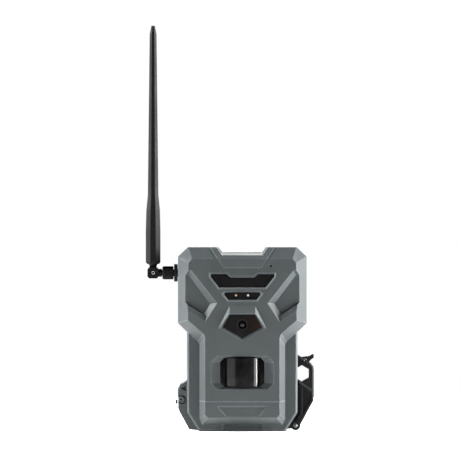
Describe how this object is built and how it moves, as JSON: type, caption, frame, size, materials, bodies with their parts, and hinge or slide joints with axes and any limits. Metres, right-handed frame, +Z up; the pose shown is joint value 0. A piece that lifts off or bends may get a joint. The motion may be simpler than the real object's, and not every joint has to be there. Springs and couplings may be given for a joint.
{
  "type": "trail camera",
  "caption": "Trail camera box with a hinged faceted front, infrared window, lens, motion sensor, side latch and a tilting whip antenna.",
  "frame": {"origin": "centre of the flat base that the camera stands on", "axes": "+Z up, +X to the right of a viewer who faces the lens, +Y from the lens towards the tree"},
  "size_m": [0.1232, 0.081, 0.2973],
  "materials": {
    "housing": "fine spark-eroded texture, satin matte",
    "window": "smooth smoked, infrared-passing",
    "led_board": "dark solder mask with clear domes",
    "diffuser": "translucent light pipe",
    "plastic": "plain moulded",
    "lens_glass": "coated, polished",
    "chip": "moulded package",
    "motion_lens": "glossy, thin moulded lens sheet",
    "steel": "plain",
    "board": "green solder mask",
    "rubber": "matt",
    "screw": "blackened",
    "brass": "machined",
    "antenna": "satin black",
    "cell": "plain sleeve",
    "spring": "nickel plated",
    "latch": "fine texture, black"
  },
  "bodies": {
    "rear": {"rear_housing": "housing", "rim_seal": "rubber", "upper_hinge_pin": "steel", "lower_hinge_pin": "steel", "tripod_insert": "brass", "power_socket": "plastic", "battery_tray": "plastic", "battery_cell_1": "cell", "battery_cell_2": "cell", "battery_cell_3": "cell", "battery_cell_4": "cell", "battery_cell_5": "cell", "battery_cell_6": "cell", "battery_cell_7": "cell", "battery_cell_8": "cell", "lower_battery_contacts": "spring", "upper_battery_contacts": "spring", "latch_pin": "steel"},
    "door": {"front_housing": "housing", "led_window": "window", "ir_led_board": "led_board", "sensor_window": "window", "status_led": "diffuser", "light_sensor": "diffuser", "lens_window": "window", "lens_barrel": "plastic", "front_lens": "lens_glass", "lens_holder": "plastic", "image_sensor": "chip", "motion_lens": "motion_lens", "motion_sensor_holder": "plastic", "motion_sensor": "steel", "main_board": "board", "cellular_modem": "steel", "processor": "chip", "microphone": "chip", "card_socket": "steel", "inner_cover": "plastic", "display": "lens_glass", "ear_screw": "screw", "ear_bumper": "rubber", "antenna_connector": "antenna"},
    "nut": {"antenna_nut": "antenna"},
    "elbow": {"antenna_elbow": "antenna", "antenna_pivot": "antenna"},
    "whip": {"antenna_whip": "antenna"},
    "latch": {"latch_lever": "latch", "trigger_pin": "latch"},
    "trigger": {"latch_trigger": "latch"},
    "power_button": {"power_button": "rubber"},
    "mode_button": {"mode_button": "rubber"},
    "memory_card": {"memory_card": "chip"},
    "filter": {"infrared_cut_filter": "lens_glass"},
    "plug": {"power_plug": "rubber"}
  },
  "joints": [
    {"name": "door_hinge", "type": "hinge", "parent": "rear", "child": "door", "pos_m": [-0.0442, -0.0057, 0.07], "axis": [0, 0, 1], "range_deg": [-100, 0]},
    {"name": "latch_swing", "type": "hinge", "parent": "rear", "child": "latch", "pos_m": [0.0392, -0.0095, 0.004], "axis": [0, 1, 0], "range_deg": [0, 60]},
    {"name": "trigger_press", "type": "hinge", "parent": "latch", "child": "trigger", "pos_m": [0.0464, -0.0095, 0.052], "axis": [0, 1, 0], "range_deg": [0, 12], "stiffness_Nm_per_rad": 0.01, "springref_deg": -5.73},
    {"name": "antenna_nut_spin", "type": "hinge", "parent": "door", "child": "nut", "pos_m": [-0.0545, -0.015, 0.1161], "axis": [1, 0, 0], "continuous": true},
    {"name": "antenna_swivel", "type": "hinge", "parent": "nut", "child": "elbow", "pos_m": [-0.06, -0.015, 0.1161], "axis": [1, 0, 0], "continuous": true},
    {"name": "antenna_tilt", "type": "hinge", "parent": "elbow", "child": "whip", "pos_m": [-0.0654, -0.015, 0.1161], "axis": [0, 1, 0], "range_deg": [-90, 0]},
    {"name": "power_button_press", "type": "slide", "parent": "door", "child": "power_button", "axis": [0, -1, 0], "range_m": [0, 0.0008], "stiffness_N_per_m": 400, "springref_m": -0.0005},
    {"name": "mode_button_press", "type": "slide", "parent": "door", "child": "mode_button", "axis": [0, -1, 0], "range_m": [0, 0.0008], "stiffness_N_per_m": 400, "springref_m": -0.0005},
    {"name": "memory_card_slide", "type": "slide", "parent": "door", "child": "memory_card", "axis": [0, 0, -1], "range_m": [0, 0.012]},
    {"name": "filter_slide", "type": "slide", "parent": "door", "child": "filter", "axis": [-1, 0, 0], "range_m": [0, 0.0045]},
    {"name": "power_plug_pull", "type": "slide", "parent": "rear", "child": "plug", "axis": [0, 0, -1], "range_m": [0, 0.008]}
  ]
}
